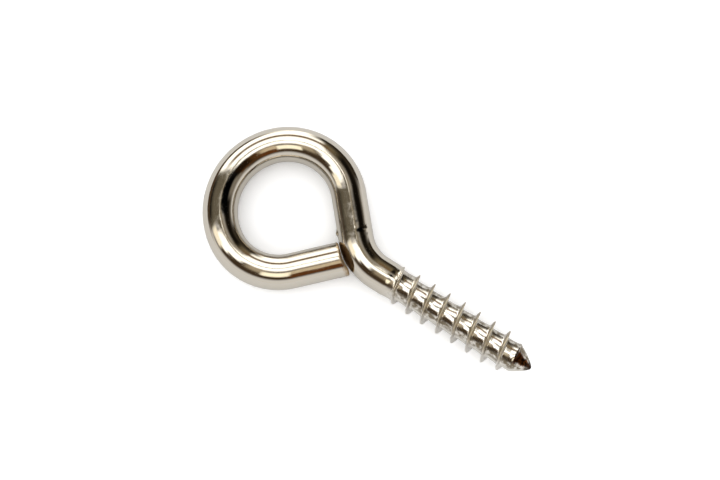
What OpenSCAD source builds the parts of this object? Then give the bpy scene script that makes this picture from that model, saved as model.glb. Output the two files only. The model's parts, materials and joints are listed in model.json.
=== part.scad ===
// Screw eye: one piece of round wire. One end is rolled into a wood-screw thread with a point,
// and the other is bent round into an eye, whose sheared end butts against the neck.
//
// The screw eye lies as it comes to rest, with its point towards +X. The thread stands out past
// the wire, so it rests on the far side of its eye and on one crest, and is tipped up a little.
// The origin is on the shank's axis, level with the middle of the eye.
//
// The wire's centreline is followed from the shank to the sheared end. A stop on it is
// [x, y, heading], with the heading in degrees from +X towards +Y.

/* [Wire] */
// Diameter of the wire
wire_d = 3.4; // [2.8:0.1:4.2]

/* [Shank and neck] */
// Length of the straight shank, from the neck's bend to the point
shank_len = 17.1; // [14:0.1:24]
// Centreline radius of the bend between the shank and the neck
neck_r = 4.8; // [3.5:0.1:7]
// Angle that the neck leans away from the shank's axis
neck_turn = 48; // [42:1:54]
// Straight length of the neck between its bend and the eye
neck_len = 4.4; // [3:0.1:6]

/* [Eye] */
// Centreline radius of the eye next to the neck
near_r = 5.95; // [4.8:0.05:7.5]
// Angle that the wire turns through next to the neck
near_turn = 98; // [90:1:104]
// Centreline radius of the eye on its far side
far_r = 6.65; // [5.4:0.05:8.2]
// Angle that the wire turns through on the far side
far_turn = 97; // [90:1:104]
// Centreline radius of the eye next to the free end
end_r = 5.5; // [4.5:0.05:7]
// Angle that the wire turns through next to the free end
end_turn = 79; // [74:1:84]
// Gap between the sheared end and the flank of the neck
end_gap = 0.08; // [0.05:0.01:0.4]

/* [Thread] */
// How far the thread's crests stand out past the wire
crest_proud = 0.3; // [0.15:0.05:0.5]
// Depth of the thread from its crests to its core
thread_depth = 0.64; // [0.54:0.02:0.8]
// Distance from one crest to the next along the shank
pitch = 1.68; // [1.2:0.02:2.2]
// Length of plain shank between the neck's bend and the thread
plain_len = 1.1; // [0.5:0.1:4]
// Width of the crest
crest_w = 0.12; // [0.08:0.01:0.2]
// Angle between a flank of the thread and a plane square to the shank
flank_angle = 24; // [15:1:30]
// Number of turns over which the thread rises to its full height
rise_turns = 2.8; // [1.5:0.1:4]
// Distance from the point back to the nearest full crest on the +Y side
crest_back = 3.56; // [3:0.02:4.6]

/* [Point] */
// Angle between the point's side and the shank's axis
point_angle = 34; // [25:1:42]
// Radius of the blunt tip
tip_r = 0.2; // [0.1:0.05:0.4]

/* [Hidden] */
$fn = 96;

wire_r = wire_d / 2;
thread_r = wire_r + crest_proud;
core_r = thread_r - thread_depth;

// Steps in one turn of the thread's ridge, and the depth of its root in the core
turn_steps = 24;
root_depth = 0.12;
// A seam between two lengths of wire is covered by a ring this long and this much proud
seam_len = 0.1;
seam_proud = 0.002;
// Length over which the wire narrows to the core
shoulder_len = 0.8 * pitch;
// Length over which the crest rises to its full height
rise_len = rise_turns * pitch;
// Clearance outside the crests of the cone that cuts the point
cone_clear = 0.5;

// Left of a heading, and straight along it
function left_of(heading) = [-sin(heading), cos(heading)];
function along(heading) = [cos(heading), sin(heading)];
function spot(stop) = [stop.x, stop.y];

// The stop reached by going straight on
function straight_on(stop, length) = [each spot(stop) + length * along(stop.z), stop.z];

// The middle of a bend, which turns left where turn is positive, and the stop that it reaches
function bend_middle(stop, r, turn) = spot(stop) + sign(turn) * r * left_of(stop.z);
function bent_on(stop, r, turn) =
    [each bend_middle(stop, r, turn) - sign(turn) * r * left_of(stop.z + turn), stop.z + turn];

// Stops along the wire, counted from the end of the straight shank
bend_stop = [0, 0, 180];
neck_stop = bent_on(bend_stop, neck_r, -neck_turn);
near_stop = straight_on(neck_stop, neck_len);
far_stop = bent_on(near_stop, near_r, near_turn);
end_stop = bent_on(far_stop, far_r, far_turn);
free_stop = bent_on(end_stop, end_r, end_turn);

// Middles of the bends, and of the eye that three of them make
neck_mid = bend_middle(bend_stop, neck_r, -neck_turn);
near_mid = bend_middle(near_stop, near_r, near_turn);
far_mid = bend_middle(far_stop, far_r, far_turn);
end_mid = bend_middle(end_stop, end_r, end_turn);
eye_mid = (near_mid + far_mid + end_mid) / 3;

// How far the free end may run before it meets the neck, at a place on its cut that is side
// wire radii to the left of its centreline: on the neck's straight flank, or else on its bend
function run_to_neck(side) =
    let (
        start = spot(free_stop) + side * wire_r * left_of(free_stop.z),
        ahead = along(free_stop.z),
        out = left_of(neck_stop.z),
        to_flank = (wire_r - (start - spot(neck_stop)) * out) / (ahead * out),
        past_bend = (start + to_flank * ahead - spot(neck_stop)) * along(neck_stop.z),
        from_mid = start - neck_mid,
        back = from_mid * ahead,
        to_bend = -back - sqrt(back * back - from_mid * from_mid + pow(neck_r + wire_r, 2))
    )
    past_bend > 0 ? to_flank : to_bend;

free_len = min([for (side = [-1 : 0.1 : 1]) run_to_neck(side)]) - end_gap;

// Radius over the crest at x, which rises from the wire's own surface
function crest_r(x) = wire_r + crest_proud * sin(90 * min(1, (x - plain_len) / rise_len));

// A right-hand ridge passes the +Y side at first_crest and again at every pitch, and is counted
// in turns from where it leaves the plain wire
first_crest = shank_len - crest_back;
first_turn = ceil((plain_len - first_crest) / pitch);
turns = (shank_len - first_crest) / pitch - first_turn;
function ridge_x(turn) = first_crest + pitch * (first_turn + turn);

// Corners of the ridge's section at a turn: root, crest, crest, root
function ridge_section(turn) =
    let (
        x = ridge_x(turn),
        root = core_r - root_depth,
        top = crest_r(x),
        half_crest = crest_w / 2,
        half_root = half_crest + (top - root) * tan(flank_angle)
    )
    [for (corner = [[-half_root, root], [-half_crest, top], [half_crest, top], [half_root, root]])
        [x + corner.x, corner.y * cos(360 * turn), corner.y * sin(360 * turn)]];

// At rest the far side of the eye touches at far_side, and so does the lowest crest, three
// quarters of a turn on from the +Y side, that tips the shank up the most
far_side = far_mid.x - far_r;
rest_tilt = max([
    0,
    for (turn = [0.75 : turns])
        asin((crest_r(ridge_x(turn)) - wire_r) / (ridge_x(turn) - far_side))
]);

module straight(stop, length) {
    translate([stop.x, stop.y, 0])
        rotate([0, 90, stop.z])
            cylinder(r = wire_r, h = length);
}

module bend(stop, r, turn) {
    middle = bend_middle(stop, r, turn);
    from = stop.z - sign(turn) * 90;
    translate([middle.x, middle.y, 0])
        rotate([0, 0, min(from, from + turn)])
            rotate_extrude(angle = abs(turn))
                translate([r, 0])
                    circle(r = wire_r);
}

// Two lengths that only touch are joined by a ring over their seam
module seam(stop) {
    translate([stop.x, stop.y, 0])
        rotate([0, 90, stop.z])
            cylinder(r = wire_r + seam_proud, h = seam_len, center = true);
}

// The neck, the eye and its free end
module bent_wire() {
    seam(bend_stop);
    bend(bend_stop, neck_r, -neck_turn);
    seam(neck_stop);
    straight(neck_stop, neck_len);
    seam(near_stop);
    bend(near_stop, near_r, near_turn);
    seam(far_stop);
    bend(far_stop, far_r, far_turn);
    seam(end_stop);
    bend(end_stop, end_r, end_turn);
    seam(free_stop);
    straight(free_stop, free_len);
}

// The shank's round outline: plain wire, the shoulder and the core
module shank() {
    rotate([0, 90, 0])
        rotate_extrude()
            polygon([
                [0, 0],
                [wire_r, 0],
                [wire_r, plain_len],
                [core_r, plain_len + shoulder_len],
                [core_r, shank_len],
                [0, shank_len],
            ]);
}

// What the pointing cut leaves: all inside a blunt cone and the wide cylinder behind it
module point_outline() {
    wide_r = thread_r + cone_clear;
    rotate([0, 90, 0])
        rotate_extrude()
            polygon([
                [0, -wide_r],
                [wide_r, -wide_r],
                [wide_r, shank_len - (wide_r - tip_r) / tan(point_angle)],
                [tip_r, shank_len],
                [0, shank_len],
            ]);
}

// The thread's ridge, wound round the core from section to section and on past the point
module ridge() {
    steps = floor(turns * turn_steps);
    sections = [for (i = [0 : steps]) each ridge_section(i / turn_steps)];
    corners = 4;
    sides = [
        for (i = [0 : steps - 1], j = [0 : corners - 1])
            let (a = i * corners + j, b = i * corners + (j + 1) % corners)
            each [[a, b, b + corners], [a, b + corners, a + corners]]
    ];
    first_face = [for (j = [corners - 1 : -1 : 0]) j];
    last_face = [for (j = [0 : corners - 1]) steps * corners + j];
    polyhedron(sections, concat([first_face, last_face], sides));
}

module screw_eye() {
    color("silver")
        rotate([0, -rest_tilt, 0])
            translate([-eye_mid.x, 0, 0]) {
                intersection() {
                    union() {
                        shank();
                        ridge();
                    }
                    point_outline();
                }
                bent_wire();
            }
}

screw_eye();
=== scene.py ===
import json
from math import asin, atan2, cos, degrees, exp, floor, hypot, pi, radians, sin, tan

import bpy
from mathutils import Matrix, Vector, noise


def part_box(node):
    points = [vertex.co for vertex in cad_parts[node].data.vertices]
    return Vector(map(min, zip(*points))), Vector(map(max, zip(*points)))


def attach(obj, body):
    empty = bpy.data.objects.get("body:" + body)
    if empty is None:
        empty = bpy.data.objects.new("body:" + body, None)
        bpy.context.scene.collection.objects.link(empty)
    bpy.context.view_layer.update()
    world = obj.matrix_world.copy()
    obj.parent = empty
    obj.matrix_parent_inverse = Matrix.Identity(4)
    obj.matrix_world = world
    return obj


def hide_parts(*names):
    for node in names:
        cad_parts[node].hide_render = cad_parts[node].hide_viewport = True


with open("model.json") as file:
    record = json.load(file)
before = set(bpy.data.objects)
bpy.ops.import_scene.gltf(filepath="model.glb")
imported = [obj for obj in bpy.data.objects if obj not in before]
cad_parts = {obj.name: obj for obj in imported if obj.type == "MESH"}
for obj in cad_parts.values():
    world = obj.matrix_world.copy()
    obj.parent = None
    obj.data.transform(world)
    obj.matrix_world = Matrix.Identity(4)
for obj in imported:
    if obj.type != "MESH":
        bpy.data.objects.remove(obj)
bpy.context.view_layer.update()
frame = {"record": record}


# ------------------------------------------------------------------ the studio
# The screw eye lies on a plain pale table under a long lens. Polished metal shows only what stands
# round it, so the light is one pale dome with soft panels and dark flags hung in it.

mm = 0.001
box_low, box_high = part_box("screw_eye")

view_heading = 32.87            # degrees, the camera's bearing round the part
view_height = 78                # degrees above the table
lens = 135                      # millimetres, as the sensor's width is
sensor_width = 36
view_width = 68.768 * mm        # what the view takes in from side to side, at the part
aim_offset = Vector((-2.4, 1.33, 0)) * mm
nearest_seen = 10 * mm

camera_distance = lens / sensor_width * view_width
aim = (box_low + box_high) / 2 + aim_offset
aim.z = 0
towards_camera = Vector((sin(radians(view_heading)) * cos(radians(view_height)),
                         -cos(radians(view_heading)) * cos(radians(view_height)),
                         sin(radians(view_height))))
bpy.ops.object.camera_add(location=aim + towards_camera * camera_distance,
                          rotation=(radians(90 - view_height), 0, radians(view_heading)))
camera = bpy.context.active_object
camera.data.lens = lens
camera.data.sensor_width = sensor_width
camera.data.clip_start = nearest_seen
bpy.context.scene.camera = camera
bpy.context.scene.view_settings.view_transform = "Standard"


def deselect_everything():
    """Leaves edit mode, with nothing selected."""
    if bpy.context.mode != "OBJECT":
        bpy.ops.object.mode_set(mode="OBJECT")
    bpy.ops.object.select_all(action="DESELECT")


def add_node(tree, kind, **settings):
    """A node of that kind in the tree, with its settings."""
    node = tree.nodes.new(kind)
    for name, value in settings.items():
        setattr(node, name, value)
    return node


def calculate(tree, operation, *values):
    """A Math node fed with numbers or other nodes' outputs, and its own output."""
    node = add_node(tree, "ShaderNodeMath", operation=operation)
    for socket, value in zip(node.inputs, values):
        if isinstance(value, (int, float)):
            socket.default_value = value
        else:
            tree.links.new(value, socket)
    return node.outputs[0]


def chain(tree, operation, first, *others):
    """The sum or product of several numbers or other nodes' outputs."""
    for other in others:
        first = calculate(tree, operation, first, other)
    return first


def ramp(tree, value, low, high, to_low=0, to_high=1, curve="SMOOTHSTEP"):
    """A soft step: to_low where the value is at low, and to_high where it is at high."""
    node = add_node(tree, "ShaderNodeMapRange", interpolation_type=curve)
    for name, given in (("Value", value), ("From Min", low), ("From Max", high),
                        ("To Min", to_low), ("To Max", to_high)):
        if isinstance(given, (int, float)):
            node.inputs[name].default_value = given
        else:
            tree.links.new(given, node.inputs[name])
    return node.outputs[0]


def mix_colours(tree, amount, first, second):
    """Two colours mixed by an amount. Each is a tuple or another node's output."""
    # The node has sockets for every kind of data. Its colours are the ones at 6 and 7, and 2.
    node = add_node(tree, "ShaderNodeMix", data_type="RGBA")
    for socket, given in ((node.inputs[0], amount), (node.inputs[6], first), (node.inputs[7], second)):
        if isinstance(given, (int, float)):
            socket.default_value = given
        elif isinstance(given, tuple):
            socket.default_value = (*given, 1)
        else:
            tree.links.new(given, socket)
    return node.outputs[2]


def new_group(name, inputs, outputs):
    """A shader node group, with its group input and output nodes."""
    tree = bpy.data.node_groups.new(name, "ShaderNodeTree")
    for kind, label in inputs:
        tree.interface.new_socket(label, in_out="INPUT", socket_type=kind)
    for kind, label in outputs:
        tree.interface.new_socket(label, in_out="OUTPUT", socket_type=kind)
    return tree, tree.nodes.new("NodeGroupInput"), tree.nodes.new("NodeGroupOutput")


table_radius = 1.5
table_sides = 96
table_grey = 0.66               # as the metal reflects it
camera_lift = 1.75              # seen straight it is brighter, so that the bare table is pure white
deselect_everything()
bpy.ops.mesh.primitive_circle_add(vertices=table_sides, radius=table_radius, fill_type="NGON",
                                  location=(0, 0, box_low.z))
table = bpy.context.active_object
table.name = "table"
table_paint = bpy.data.materials.new("table_paint")
table_paint.use_nodes = True
table_shader = table_paint.node_tree.nodes["Principled BSDF"]
table_shader.inputs["Roughness"].default_value = 1
table_shader.inputs["Specular IOR Level"].default_value = 0
table_ray = add_node(table_paint.node_tree, "ShaderNodeLightPath")
table_seen = mix_colours(table_paint.node_tree, table_ray.outputs["Is Camera Ray"],
                         (table_grey,) * 3, (table_grey * camera_lift,) * 3)
table_paint.node_tree.links.new(table_seen, table_shader.inputs["Base Color"])
table.data.materials.append(table_paint)


# A card is a soft-edged patch of the dome: how far round and how far down it reaches, in degrees.
card_group, card_in, card_out = new_group(
    "Studio Card",
    [("NodeSocketFloat", name) for name in
     ("Round", "Down", "Middle", "Reach", "Top", "Bottom", "Side Blur", "Edge Blur")],
    [("NodeSocketFloat", "Mask")])
off_middle = calculate(card_group, "SUBTRACT", card_in.outputs["Round"], card_in.outputs["Middle"])
off_middle = calculate(card_group, "WRAP", off_middle, 180, -180)
off_middle = calculate(card_group, "ABSOLUTE", off_middle)
side_half = calculate(card_group, "MULTIPLY", card_in.outputs["Side Blur"], 0.5)
edge_half = calculate(card_group, "MULTIPLY", card_in.outputs["Edge Blur"], 0.5)
beside = ramp(card_group, off_middle,
              calculate(card_group, "SUBTRACT", card_in.outputs["Reach"], side_half),
              calculate(card_group, "ADD", card_in.outputs["Reach"], side_half), 1, 0)
below_top = ramp(card_group, card_in.outputs["Down"],
                 calculate(card_group, "SUBTRACT", card_in.outputs["Top"], edge_half),
                 calculate(card_group, "ADD", card_in.outputs["Top"], edge_half))
above_bottom = ramp(card_group, card_in.outputs["Down"],
                    calculate(card_group, "SUBTRACT", card_in.outputs["Bottom"], edge_half),
                    calculate(card_group, "ADD", card_in.outputs["Bottom"], edge_half), 1, 0)
card_mask = chain(card_group, "MULTIPLY", beside, below_top, above_bottom)
card_group.links.new(card_mask, card_out.inputs["Mask"])

# A top of -20 is past the dome's top, so such a card has no upper edge. A reach of 361 is all round.
pale_room = (0.88, 0.87, 0.86)
window_light = (2.2, 2.18, 2.1)
studio_cards = (
    # name, middle, reach, top, bottom, side blur, edge blur, colour
    ("south shade", 256, 66, 20, 75, 12, 18, (0.07, 0.045, 0.025)),
    ("southwest glow", 241, 9, 16, 42, 10, 22, (0.55, 0.46, 0.33)),
    ("east dusk", 352, 34, 30, 74, 16, 16, (0.27, 0.24, 0.2)),
    ("northeast veil", 58, 16, 20, 66, 12, 20, (0.22, 0.18, 0.11)),
    ("north window", 105, 39, -20, 84, 5, 20, window_light),
    ("north slot", 100, 42, 27, 42, 16, 11, (0.22, 0.14, 0.07)),
    ("west grey", 166, 20, -20, 78, 4, 16, (0.17, 0.148, 0.108)),
    ("west dark", 165, 16, 52, 87, 14, 28, (0.012, 0.01, 0.007)),
    ("northeast dark", 24, 28, 20, 66, 14, 24, (0.008, 0.006, 0.004)),
    ("northeast far dark", 50, 25, 54, 90, 16, 24, (0.04, 0.03, 0.018)),
    ("northeast grey", 42, 26, -20, 18, 20, 40, (0.26, 0.21, 0.13)),
    ("south window", 262, 58, -20, 17, 14, 9, window_light),
    ("southwest window", 212, 14, -20, 37, 6, 12, window_light),
    ("west strip", 202, 10, -20, 52, 4, 12, (2.1, 2.05, 1.95)),
    ("west strip end", 195, 8, 40, 67, 6, 10, (1.5, 1.4, 1.15)),
    ("south patch", 264, 15, 29, 53, 4, 11, (1.7, 1.6, 1.3)),
    ("southeast brown", 303, 24, 22, 63, 4, 8, (0.1, 0.045, 0.014)),
    ("south brown", 287, 9, 24, 45, 6, 8, (0.8, 0.66, 0.46)),
    ("south rust", 289, 10, 46, 68, 6, 6, (0.15, 0.055, 0.016)),
    ("southeast black", 320, 12, 15, 54, 8, 12, (0.02, 0.01, 0.004)),
    ("east grey", 350, 28, -20, 14, 12, 8, (0.16, 0.14, 0.1)),
    ("east black", 351, 24, 6, 47, 10, 12, (0.001, 0.001, 0.001)),
    ("northwest skirt", 142, 40, 67, 100, 32, 6, (0.09, 0.06, 0.035)),
    ("centre slot", 0, 361, -20, 2.6, 1, 2.6, (0.36, 0.31, 0.23)),
)
dome_lean = 12                  # degrees, the panels' centre leans away from the camera

world = bpy.data.worlds.new("studio")
bpy.context.scene.world = world
world.use_nodes = True
world.cycles.sampling_method = "NONE"       # the dome is soft all over, so it isn't sampled as a lamp
sky = world.node_tree
sky.nodes.clear()
look = add_node(sky, "ShaderNodeTexCoord").outputs["Generated"]
for axis, angle in (("Z_AXIS", -view_heading), ("X_AXIS", dome_lean)):
    turn = add_node(sky, "ShaderNodeVectorRotate", rotation_type=axis)
    turn.inputs["Angle"].default_value = radians(angle)
    sky.links.new(look, turn.inputs["Vector"])
    look = turn.outputs[0]
look_parts = add_node(sky, "ShaderNodeSeparateXYZ")
sky.links.new(look, look_parts.inputs[0])
look_x, look_y, look_z = look_parts.outputs
round_dome = calculate(sky, "DEGREES", calculate(sky, "ARCTAN2", look_y, look_x))
down_dome = calculate(sky, "DEGREES", calculate(sky, "ARCCOSINE", look_z))
reflected = pale_room
for name, middle, reach, top, bottom, side_blur, edge_blur, colour in studio_cards:
    card = add_node(sky, "ShaderNodeGroup", node_tree=card_group, label=name)
    sky.links.new(round_dome, card.inputs["Round"])
    sky.links.new(down_dome, card.inputs["Down"])
    for socket, value in (("Middle", middle), ("Reach", reach), ("Top", top), ("Bottom", bottom),
                          ("Side Blur", side_blur), ("Edge Blur", edge_blur)):
        card.inputs[socket].default_value = value
    reflected = mix_colours(sky, card.outputs["Mask"], reflected, colour)

# The table and the matt faces are lit by an even dome, a little brighter on the west side.
dome_light = 1.35
west_gain = 1.2
east_gain = 0.8
backdrop_white = (1.0, 1.0, 1.0)
west_side = ramp(sky, look_x, -1, 1, dome_light * west_gain, dome_light * east_gain, "LINEAR")
room_light = add_node(sky, "ShaderNodeCombineXYZ")
for socket in room_light.inputs:
    sky.links.new(west_side, socket)
ray = add_node(sky, "ShaderNodeLightPath")
seen = mix_colours(sky, ray.outputs["Is Diffuse Ray"], reflected, room_light.outputs[0])
seen = mix_colours(sky, ray.outputs["Is Camera Ray"], seen, backdrop_white)
background = add_node(sky, "ShaderNodeBackground")
sky.links.new(seen, background.inputs["Color"])
world_out = add_node(sky, "ShaderNodeOutputWorld")
sky.links.new(background.outputs[0], world_out.inputs["Surface"])


# ------------------------------------------------------------ the rolled thread
# The end of the steel wire is rolled between flat dies: thin steep ridges stand up from a wide low
# root, and run out on the plain wire. The point is pinched to a blunt cone as the blank is cut.

wire_r = 3.4 / 2 * mm
shank_len = 17.1 * mm
ridge_r = 2.0 * mm              # over the crests
root_r = 1.36 * mm
pitch = 1.68 * mm
crest_w = 0.08 * mm
tip_side_angle = 6              # degrees, the ridge leans a little towards the tip
neck_side_angle = 13
root_fall = 0.04 * mm           # the root is deepest beside a ridge's tip side
root_climb = 0.055 * mm         # and highest where it meets the next ridge's neck side
root_bow = 0.15                 # how much steeper it climbs at its end than at its start
land_steps = 8
tip_side_fillet = 0.1 * mm
neck_side_fillet = 0.2 * mm
fillet_room = 1.05              # the stretch left for a fillet, as a share of the fillet
fillet_segments = 7
crest_fillet = 0.03 * mm
crest_segments = 2
plain_len = 1.1 * mm            # bare wire between the neck and the first groove
last_crest_back = 3.56 * mm     # from the tip to the last whole crest
scoop_len = 0.5 * mm            # the first groove starts with a short scoop, then deepens slowly
scoop_depth = 0.03 * mm
run_in = 1.7 * pitch            # the way that the root takes to reach its depth
rise_len = 2.8 * pitch          # and the crests their height
tip_r = 0.06 * mm
point_len = 1.72 * mm           # from the root's end to the tip
point_swell = 0.74              # below 1, so that the cone is a little rounded
point_blend = 0.1 * mm          # how softly the thread runs into the point
least_r = 0.02 * mm
root_rough = 0.028 * mm
crest_rough = 0.04 * mm         # what the crests add to it
rough_grain = 0.85 * mm
round_steps = 96

# The frame gives the tip's place and how far the part is tipped up as it rests.
mounts = {mount["name"]: mount for mount in frame["record"]["mounts"]}
shank_axis = Vector(mounts["screw_thread"]["axis"])
tip_x = Vector(mounts["screw_thread"]["pos_m"]).length
rest_tilt = asin(shank_axis.z)
neck_x = tip_x - shank_len
last_crest_x = tip_x - last_crest_back
turns_back = 9                  # from the last crest to where the winding starts
turns = 12
first_crest_x = last_crest_x - turns_back * pitch


def pick(piece, wanted):
    """Opens a piece for editing, with only the vertices selected whose places are wanted."""
    bpy.ops.object.mode_set(mode="OBJECT")
    mesh = piece.data
    for part in (mesh.vertices, mesh.edges, mesh.polygons):
        part.foreach_set("select", [False] * len(part))
    for vertex in mesh.vertices:
        vertex.select = wanted(vertex.co)
    bpy.ops.object.mode_set(mode="EDIT")
    bpy.ops.mesh.select_mode(type="VERT")


def pick_open_rim(piece, wanted):
    """Opens a piece for editing, with only the open edges selected whose ends are wanted."""
    bpy.ops.object.mode_set(mode="EDIT")
    bpy.ops.mesh.select_mode(type="EDGE")
    bpy.ops.mesh.select_all(action="DESELECT")
    bpy.ops.mesh.select_non_manifold(use_wire=False, use_multi_face=False,
                                     use_non_contiguous=False, use_verts=False)
    bpy.ops.object.mode_set(mode="OBJECT")
    mesh = piece.data
    for edge in mesh.edges:
        edge.select = edge.select and all(wanted(mesh.vertices[i].co) for i in edge.vertices)
    bpy.ops.object.mode_set(mode="EDIT")


def draw_line(steps):
    """Extrudes the selected vertex along a line of steps."""
    for step in steps:
        bpy.ops.mesh.extrude_region_move(TRANSFORM_OT_translate={"value": step})


def near(value, target, within=0.002 * mm):
    """Whether two lengths are the same, but for rounding."""
    return abs(value - target) < within


# The outline from one crest to the next is drawn out from a single vertex, then wound into a helix.
deselect_everything()
bpy.ops.mesh.primitive_plane_add(size=pitch / 2, location=(first_crest_x, ridge_r, 0))
thread = bpy.context.active_object
thread.name = "screw_eye_plated"
bpy.ops.object.transform_apply(location=True, rotation=True, scale=True)
bpy.ops.object.mode_set(mode="EDIT")
bpy.ops.mesh.select_mode(type="VERT")
bpy.ops.mesh.select_all(action="SELECT")
bpy.ops.mesh.merge(type="CENTER")
depth = ridge_r - root_r
tip_side_w = (depth + root_fall) * tan(radians(tip_side_angle))
neck_side_w = (depth - root_climb) * tan(radians(neck_side_angle))
land_w = pitch - crest_w - tip_side_w - neck_side_w
land_slope = (root_fall + root_climb) / land_w
land_start = fillet_room * tip_side_fillet
land_end = fillet_room * neck_side_fillet
land_step = (land_w - land_start - land_end) / land_steps
foot_x = first_crest_x + crest_w / 2 + tip_side_w
far_foot_x = foot_x + land_w
draw_line([(crest_w / 2, 0, 0),
           (tip_side_w, -depth - root_fall, 0),
           (land_start, land_start * land_slope, 0)])
draw_line([(land_step, land_step * (land_slope + root_bow * ((step + 0.5) / land_steps - 0.5)), 0)
           for step in range(land_steps)])
draw_line([(land_end, land_end * land_slope, 0),
           (neck_side_w, depth - root_climb, 0),
           (crest_w / 2, 0, 0)])
for at_x, fillet in ((foot_x, tip_side_fillet), (far_foot_x, neck_side_fillet)):
    pick(thread, lambda place: near(place.x, at_x))
    bpy.ops.mesh.bevel(offset=fillet, affect="VERTICES", segments=fillet_segments)
pick(thread, lambda place: near(place.y, ridge_r) and not near(place.x, first_crest_x)
     and not near(place.x, first_crest_x + pitch))
bpy.ops.mesh.bevel(offset=crest_fillet, affect="VERTICES", segments=crest_segments)
bpy.ops.object.mode_set(mode="OBJECT")

wind = thread.modifiers.new("wind", "SCREW")
wind.axis = "X"
wind.angle = 2 * pi
wind.screw_offset = pitch
wind.iterations = turns
wind.steps = round_steps
wind.render_steps = round_steps
wind.use_merge_vertices = False
wind.use_smooth_shade = True
bpy.ops.object.modifier_apply(modifier=wind.name)
merge_gap = 0.001 * mm
bpy.ops.object.mode_set(mode="EDIT")
bpy.ops.mesh.select_all(action="SELECT")
bpy.ops.mesh.remove_doubles(threshold=merge_gap)


def soft_step(value):
    """Nought up to 0, one from 1, and a smooth way between."""
    value = min(1, max(0, value))
    return value * value * (3 - 2 * value)


def soft_least(first, second, blend):
    """The smaller of two lengths, rounded where they are about the same."""
    gap = max(0, blend - abs(first - second)) / blend
    return min(first, second) - gap * gap * blend / 4


def point_outline(x):
    """The radius that the pinched point leaves at x."""
    back = tip_x - x
    if back <= 0:
        return tip_r + back
    return tip_r + (root_r - tip_r) * (back / point_len) ** point_swell


# Every vertex is then brought to its true radius, where the thread runs in and where the point tapers.
bpy.ops.object.mode_set(mode="OBJECT")
for vertex in thread.data.vertices:
    x, y, z = vertex.co
    old_r = hypot(y, z)
    grown = (old_r - root_r) / depth
    turned = degrees(atan2(z, y)) % 360 / 360
    ridges_passed = floor((x - first_crest_x) / pitch - turned)
    root_middle = first_crest_x + (ridges_passed + 0.5 + turned) * pitch
    # Once it has begun, a groove's depth is that of its middle, and is even across it.
    grown_groove = soft_step((x - neck_x - plain_len) / pitch)
    from_plain = x + (root_middle - x) * grown_groove - neck_x - plain_len
    scoop = soft_step(from_plain / scoop_len)
    deepened = soft_step(from_plain / run_in)
    root_here = wire_r - scoop_depth * scoop - (wire_r - root_r - scoop_depth) * deepened
    rise = min(1, max(0, (x - neck_x - plain_len) / rise_len))
    crest_here = wire_r + (ridge_r - wire_r) * sin(rise * pi / 2)
    roughness = (root_rough + crest_rough * grown) * rise
    unevenness = noise.noise(Vector((x, y, z)) / rough_grain) * roughness
    new_r = root_here + grown * (crest_here - root_here) + unevenness
    new_r = max(soft_least(new_r, point_outline(x), point_blend), least_r)
    vertex.co.y = y * new_r / old_r
    vertex.co.z = z * new_r / old_r

# The thread is cut off square near the neck and at the tip, which is closed with a few rounded rings.
join_past_neck = 0.5 * mm
join_x = neck_x + join_past_neck
blunt = 0.08 * mm
tip_rings = ((0.45, 0.85), (0.35, 0.7), (0.2, 0.45))    # each one's share of blunt, and its shrink
cut_gap = 0.0001 * mm
for cut_x, clear_tip in ((join_x, False), (tip_x - blunt, True)):
    bpy.ops.object.mode_set(mode="EDIT")
    bpy.ops.mesh.select_all(action="SELECT")
    bpy.ops.mesh.bisect(plane_co=(cut_x, 0, 0), plane_no=(1, 0, 0), threshold=cut_gap,
                        clear_inner=not clear_tip, clear_outer=clear_tip)
    bpy.ops.object.mode_set(mode="OBJECT")

tip_centre = (tip_x - blunt, 0, 0)
pick_open_rim(thread, lambda place: place.x > last_crest_x)
for advance, shrink in tip_rings:
    bpy.ops.mesh.extrude_region_move(TRANSFORM_OT_translate={"value": (blunt * advance, 0, 0)})
    bpy.ops.transform.resize(value=(1, shrink, shrink), center_override=tip_centre)
bpy.ops.mesh.merge(type="CENTER")
bpy.ops.object.mode_set(mode="OBJECT")


# ------------------------------------------------------- the wire and its eye
# One length of drawn steel wire, nickel plated. The forming tool kicks it out at the neck, then
# brings it round in three bends, until its sheared end nearly meets the neck.

neck_r = 4.8 * mm
neck_turn = -48                 # degrees, a bend to the left is above nought
neck_len = 4.4 * mm
eye_bends = ((5.95 * mm, 98), (6.65 * mm, 97), (5.5 * mm, 79))
free_len = 4.917 * mm           # the cut stands 0.08 mm from the neck
end_round = 0.2 * mm
bridge_gap = 0.1 * mm           # between the thread's cut end and the wire's first ring
step_len = 0.2 * mm
bend_step = 2                   # degrees
neck_bend_step = 1
wire_start = Vector((join_x - bridge_gap, 0, 0))

deselect_everything()
bpy.ops.mesh.primitive_circle_add(vertices=round_steps, radius=wire_r, location=wire_start,
                                  rotation=(0, pi / 2, 0))
wire = bpy.context.active_object
bpy.ops.object.transform_apply(location=True, rotation=True, scale=True)
bpy.ops.object.mode_set(mode="EDIT")
bpy.ops.mesh.select_mode(type="VERT")
bpy.ops.mesh.select_all(action="SELECT")

route = [(Vector((tip_x, 0, 0)), 180, shank_len, 0, 0)]     # start, heading, length, radius and turn


def heading_vector(heading):
    """The unit vector of a heading, in degrees from the way the tip points."""
    return Vector((cos(radians(heading)), sin(radians(heading)), 0))


def run_straight(place, heading, length, step):
    """Draws the open end of the wire straight on, and gives the end's new place."""
    count = max(1, round(length / step))
    for _ in range(count):
        bpy.ops.mesh.extrude_region_move(
            TRANSFORM_OT_translate={"value": heading_vector(heading) * length / count})
    route.append((place.copy(), heading, length, 0, 0))
    return place + heading_vector(heading) * length


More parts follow.
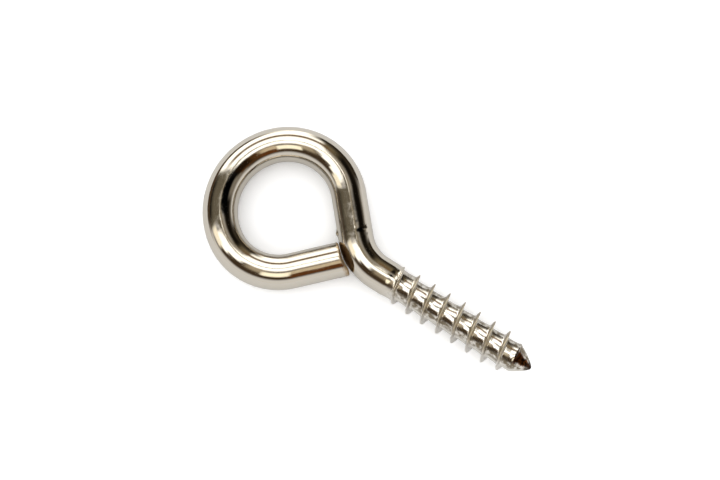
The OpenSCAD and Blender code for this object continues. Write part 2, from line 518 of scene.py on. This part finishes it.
def run_bend(place, heading, radius, turn, step):
    """Bends the open end of the wire on, and gives its new place and heading."""
    side = 1 if turn > 0 else -1
    centre = place + heading_vector(heading + 90 * side) * radius
    # Spin counts its angle the other way round.
    bpy.ops.mesh.spin(steps=round(abs(turn) / step), angle=-radians(turn), center=centre, axis=(0, 0, 1))
    route.append((place.copy(), heading, radius * radians(abs(turn)), radius, turn))
    return centre - heading_vector(heading + turn + 90 * side) * radius, heading + turn


place = wire_start.copy()
heading = 180
place = run_straight(place, heading, place.x - neck_x, step_len)
route.pop()                     # the first stretch already runs from the tip to the neck
place, heading = run_bend(place, heading, neck_r, neck_turn, neck_bend_step)
place = run_straight(place, heading, neck_len, step_len / 2)
for radius, turn in eye_bends:
    place, heading = run_bend(place, heading, radius, turn, bend_step)
place = run_straight(place, heading, free_len - end_round, step_len)

# The sheared end is a small rounded rim, then the flat cut.
way = heading_vector(heading)
rim_steps = 7
face_shrinks = (0.85, 0.8, 0.7, 0.5)    # of the rings that close the cut's face
last_sin = 0
last_r = wire_r
for step in range(1, rim_steps + 1):
    angle = step / rim_steps * pi / 2
    rim_r = wire_r - end_round * (1 - cos(angle))
    advance = end_round * (sin(angle) - last_sin)
    bpy.ops.mesh.extrude_region_move(TRANSFORM_OT_translate={"value": way * advance})
    place = place + way * advance
    shrink = rim_r / last_r
    bpy.ops.transform.resize(value=(shrink, shrink, shrink), center_override=place)
    last_sin = sin(angle)
    last_r = rim_r
for shrink in face_shrinks:
    bpy.ops.mesh.extrude_region_move(TRANSFORM_OT_translate={"value": (0, 0, 0)})
    bpy.ops.transform.resize(value=(shrink, shrink, shrink), center_override=place)
bpy.ops.mesh.merge(type="CENTER")
bpy.ops.object.mode_set(mode="OBJECT")

deselect_everything()
wire.select_set(True)
thread.select_set(True)
bpy.context.view_layer.objects.active = thread
bpy.ops.object.join()
eye_screw = thread
pick_open_rim(eye_screw, lambda place: True)
bpy.ops.mesh.bridge_edge_loops()
bpy.ops.mesh.select_mode(type="VERT")
bpy.ops.mesh.select_all(action="SELECT")
bpy.ops.mesh.remove_doubles(threshold=merge_gap)
bpy.ops.mesh.normals_make_consistent(inside=False)
bpy.ops.object.mode_set(mode="OBJECT")


def straighten(point):
    """How far along and across the straight blank a point was, and which way its left is now."""
    found = None
    along_start = 0
    for start, heading, length, radius, turn in route:
        side = 1 if turn > 0 else -1
        if turn:
            centre = start + heading_vector(heading + 90 * side) * radius
            spoke = point - centre
            spoke.z = 0
            first = start - centre
            swept = atan2(first.x * spoke.y - first.y * spoke.x, first.dot(spoke)) * side
            along = swept * radius
            across = (radius - spoke.length) * side
            left = -spoke.normalized() * side
        else:
            way_on = heading_vector(heading)
            left = heading_vector(heading + 90)
            along = (point - start).dot(way_on)
            across = (point - start).dot(left)
        outside = max(0, -along, along - length)
        if found is None or hypot(across, outside) < found[0]:
            found = (hypot(across, outside), along_start + along, across, left)
        along_start += length
    return found[1], found[2], found[3]


# Where the tool gripped the neck it left a crease over the wire, a spur with a nick beside it on the
# eye's outer side, and a small burr on its inner side.
crease_past_bend = 0.6 * mm
crease_at = shank_len + neck_r * radians(abs(neck_turn)) + crease_past_bend
tool_marks = (
    # place along the wire, degrees round it, reach along, degrees of reach round, height
    (crease_at - 0.1 * mm, 75, 0.35 * mm, 35, 0.004 * mm),      # crease
    (crease_at + 0.05 * mm, 134, 0.16 * mm, 12, 0.09 * mm),     # spur
    (crease_at - 0.3 * mm, 126, 0.25 * mm, 20, -0.03 * mm),     # nick
    (crease_at + 0.15 * mm, 12, 0.36 * mm, 6, 0.2 * mm),        # burr
)
wave = 0.012 * mm               # the bent wire isn't perfectly even
wave_grain = 1.2 * mm
wave_stretch = 3
mottle = 0.005 * mm             # and is scuffed just past the crease
mottle_grain = 0.3 * mm
mottle_at = crease_at + 0.3 * mm
mottle_reach = 0.6 * mm
wire_len = sum(stretch[2] for stretch in route) + end_round
burr_len = 0.42 * mm            # the shears drag the cut's outer rim on, towards the neck
burr_reach = 0.7 * mm
skin_r = 0.9 * wire_r           # what lies further in is the cut's face, which stays flat

# Each vertex also keeps its place on the straight blank, which the finish below follows.
mesh = eye_screw.data
blank_places = []
for vertex in mesh.vertices:
    along, across, left = straighten(vertex.co)
    up = vertex.co.z
    blank_places += [along, across, up]
    if along < shank_len - plain_len or hypot(across, up) < skin_r:
        continue
    round_wire = degrees(atan2(up, across))
    outwards = (left * across + Vector((0, 0, up))).normalized()
    lift = noise.noise(Vector((along / wave_stretch, across, up)) / wave_grain) * wave
    off = (along - mottle_at) / mottle_reach
    lift += noise.noise(Vector((along, across, up)) / mottle_grain) * mottle * exp(-off * off)
    for mark_along, mark_round, reach, spread, height in tool_marks:
        off = hypot((along - mark_along) / reach, (round_wire - mark_round) / spread)
        lift += height * exp(-off * off)
    vertex.co += outwards * lift
    dragged = soft_step((along - wire_len + burr_reach) / burr_reach) * soft_step(-across / wire_r)
    vertex.co += way * burr_len * dragged
blank = mesh.attributes.new("blank", "FLOAT_VECTOR", "POINT")
blank.data.foreach_set("vector", blank_places)

# The whole piece is tipped up at the point, as it rests on its eye and one crest.
bpy.ops.object.mode_set(mode="EDIT")
bpy.ops.mesh.select_all(action="SELECT")
bpy.ops.transform.rotate(value=rest_tilt, orient_axis="Y", center_override=(0, 0, 0))
bpy.ops.object.mode_set(mode="OBJECT")
sharp_edge = 50                 # degrees
bpy.ops.object.shade_smooth_by_angle(angle=radians(sharp_edge))

nickel = bpy.data.materials.new("nickel_plate")
nickel.use_nodes = True
plating = nickel.node_tree
nickel_shader = plating.nodes["Principled BSDF"]
nickel_shader.inputs["Metallic"].default_value = 1
nickel_colour = (0.66, 0.609, 0.526)
rolled_colour = (0.86, 0.82, 0.75)      # rolling leaves the roots brighter than drawn wire
# The ridges' colours are painted light and shade: a lit side, a shaded side and a lit top.
lit_side_ridge_colour = (0.86, 0.83, 0.78)
shaded_side_ridge_colour = (0.5, 0.44, 0.34)
lit_top_ridge_colour = (0.86, 0.77, 0.6)
stain_and_shade_colour = (0.19, 0.15, 0.095)      # brown in the roots: stains where the plating is thin, and painted shade high on each side
point_reflection_brown = (0.15, 0.05, 0.01)       # painted dark reflection, on top of the pinched point
point_reflection_black = (0.012, 0.006, 0.003)
# painted shade on the very tip
tip_shade_colour = (0.02, 0.014, 0.01)
sheared_and_shaded_colour = (0.42, 0.3, 0.17)      # the bare steel of the cut, browned, and painted shade in its narrow gap at the neck
on_blank = add_node(plating, "ShaderNodeAttribute", attribute_name="blank").outputs["Vector"]
blank_parts = add_node(plating, "ShaderNodeSeparateXYZ")
plating.links.new(on_blank, blank_parts.inputs[0])
along_wire, across_wire, up_wire = blank_parts.outputs


def stretched_noise(tree, vector, grain, stretch, detail=3):
    """A noise whose grains are grain wide and stretch times as long along the wire."""
    scaled = add_node(tree, "ShaderNodeVectorMath", operation="MULTIPLY")
    scaled.inputs[1].default_value = (1 / grain / stretch, 1 / grain, 1 / grain)
    tree.links.new(vector, scaled.inputs[0])
    node = add_node(tree, "ShaderNodeTexNoise")
    node.inputs["Scale"].default_value = 1
    node.inputs["Detail"].default_value = detail
    tree.links.new(scaled.outputs[0], node.inputs["Vector"])
    return node.outputs["Fac"]


# Where a spot is on the blank: how far from its middle, and how far it faces up or left.
radius_here = calculate(plating, "SQRT", calculate(plating, "ADD",
                        calculate(plating, "MULTIPLY", across_wire, across_wire),
                        calculate(plating, "MULTIPLY", up_wire, up_wire)))
facing_up = calculate(plating, "DIVIDE", up_wire, radius_here)
facing_left = calculate(plating, "DIVIDE", across_wire, radius_here)

draw_line_w = 0.06 * mm
draw_line_stretch = 40
draw_lines = stretched_noise(plating, on_blank, draw_line_w, draw_line_stretch)
blotch_w = 0.5 * mm
blotch_stretch = 1.5
blotches = stretched_noise(plating, on_blank, blotch_w, blotch_stretch)
# This noise places both the roots' stains and their painted shade.
stain_and_shade_w = 0.34 * mm
stain_and_shade_stretch = 1.3
stain_and_shade_detail = 6
stain_and_shade_noise = stretched_noise(plating, on_blank, stain_and_shade_w, stain_and_shade_stretch, stain_and_shade_detail)

# Each soft step below has its two limits, and then what it gives at each if that isn't 0 and 1.
thread_limits = (shank_len - plain_len, shank_len - plain_len - rise_len / 2)
ridge_limits = (root_r + 0.06 * mm, root_r + 0.3 * mm)
in_thread = ramp(plating, along_wire, *thread_limits)
on_ridge = chain(plating, "MULTIPLY", in_thread, ramp(plating, radius_here, *ridge_limits))

# The roots are bright from rolling, with stains and painted shade high on each side, and few on top and
# underneath.
stain_and_shade_spots = (0.32, 0.6, 0.1, 0.95)
stain_and_shade_off_top = (0.8, 0.95, 1, 0.15)
stain_and_shade_off_under = (0.25, 0.6, 0.15, 1)
stained_and_shaded = chain(plating, "MULTIPLY", in_thread,
                ramp(plating, stain_and_shade_noise, *stain_and_shade_spots),
                ramp(plating, facing_up, *stain_and_shade_off_top),
                ramp(plating, facing_up, *stain_and_shade_off_under))
wire_colour = mix_colours(plating, in_thread, nickel_colour, rolled_colour)
wire_colour = mix_colours(plating, stained_and_shaded, wire_colour, stain_and_shade_colour)

# The ridges are dull and pale, with painted shade on one side and a painted cream sheen on top, and are
# partly hidden by stains and painted shade.
ridge_shaded_side_limits = (-0.7, 0.5)
ridge_lit_top_limits = (0.6, 0.95)
ridge_stain_and_shade_limits = (0.4, 0.65, 1, 0.55)
ridge_painted_light = mix_colours(plating, ramp(plating, facing_left, *ridge_shaded_side_limits),
                         shaded_side_ridge_colour, lit_side_ridge_colour)
ridge_painted_light = mix_colours(plating, ramp(plating, facing_up, *ridge_lit_top_limits),
                         ridge_painted_light, lit_top_ridge_colour)
ridge_painted_light_mask = chain(plating, "MULTIPLY", on_ridge, ramp(plating, stain_and_shade_noise, *ridge_stain_and_shade_limits))
wire_colour = mix_colours(plating, ridge_painted_light_mask, wire_colour, ridge_painted_light)

# A dark brown and black reflection is painted on top of the pinched point, in a ragged patch.
point_reflection_reach = (1.9 * mm, 1.6 * mm)
point_reflection_ragged = 0.3
point_reflection_top_limits = (0.95, 1.1)
point_reflection_noise_w = 0.25 * mm
point_reflection_noise_stretch = 1
point_reflection_noise_limits = (0.4, 0.6)
ragged_up = calculate(plating, "ADD", facing_up, calculate(plating, "MULTIPLY", stain_and_shade_noise, point_reflection_ragged))
point_reflection_mask = chain(plating, "MULTIPLY", ramp(plating, along_wire, *point_reflection_reach),
                ramp(plating, ragged_up, *point_reflection_top_limits))
point_reflection_noise = stretched_noise(plating, on_blank, point_reflection_noise_w, point_reflection_noise_stretch)
point_reflection_spots = mix_colours(plating, ramp(plating, point_reflection_noise, *point_reflection_noise_limits), point_reflection_brown, point_reflection_black)
wire_colour = mix_colours(plating, point_reflection_mask, wire_colour, point_reflection_spots)

# The sheared end is brown from a ragged edge on, as bare steel and as painted shade in its gap at the
# neck, and the very tip is painted dark, as painted shade.
sheared_and_shaded_ragged = 0.4 * mm
sheared_and_shaded_limits = (wire_len - 0.2 * mm, wire_len + 0.1 * mm)
tip_shade_limits = (0.7 * mm, 0.3 * mm, 0, 0.8)
from_cut = calculate(plating, "ADD", along_wire, calculate(plating, "MULTIPLY", stain_and_shade_noise, sheared_and_shaded_ragged))
sheared_and_shaded = ramp(plating, from_cut, *sheared_and_shaded_limits)
wire_colour = mix_colours(plating, sheared_and_shaded, wire_colour, sheared_and_shaded_colour)
wire_colour = mix_colours(plating, ramp(plating, along_wire, *tip_shade_limits), wire_colour, tip_shade_colour)
plating.links.new(wire_colour, nickel_shader.inputs["Base Color"])

# The plating is polished, a little blotchy, and duller in the thread, where stained or painted with
# shade, and on the cut.
polish_limits = (0.35, 0.7, 0.05, 0.12)
thread_dullness = 0.03
stain_and_shade_dullness = 0.15
sheared_dullness = 0.35
ridge_roughness = 0.42
wire_roughness = chain(plating, "ADD", ramp(plating, blotches, *polish_limits),
                       calculate(plating, "MULTIPLY", in_thread, thread_dullness),
                       calculate(plating, "MULTIPLY", stained_and_shaded, stain_and_shade_dullness),
                       calculate(plating, "MULTIPLY", sheared_and_shaded, sheared_dullness))
roughness_here = ramp(plating, on_ridge, 0, 1, wire_roughness, ridge_roughness, "LINEAR")
plating.links.new(roughness_here, nickel_shader.inputs["Roughness"])

# Fine lines from the drawing die lie over a soft unevenness.
draw_line_depth = 0.35
relief_strength = 0.32
relief_height = 0.01 * mm
relief = chain(plating, "ADD", calculate(plating, "MULTIPLY", draw_lines, draw_line_depth), blotches)
bump = add_node(plating, "ShaderNodeBump")
bump.inputs["Strength"].default_value = relief_strength
bump.inputs["Distance"].default_value = relief_height
plating.links.new(relief, bump.inputs["Height"])
plating.links.new(bump.outputs["Normal"], nickel_shader.inputs["Normal"])
eye_screw.data.materials.append(nickel)
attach(eye_screw, "root")
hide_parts("screw_eye")
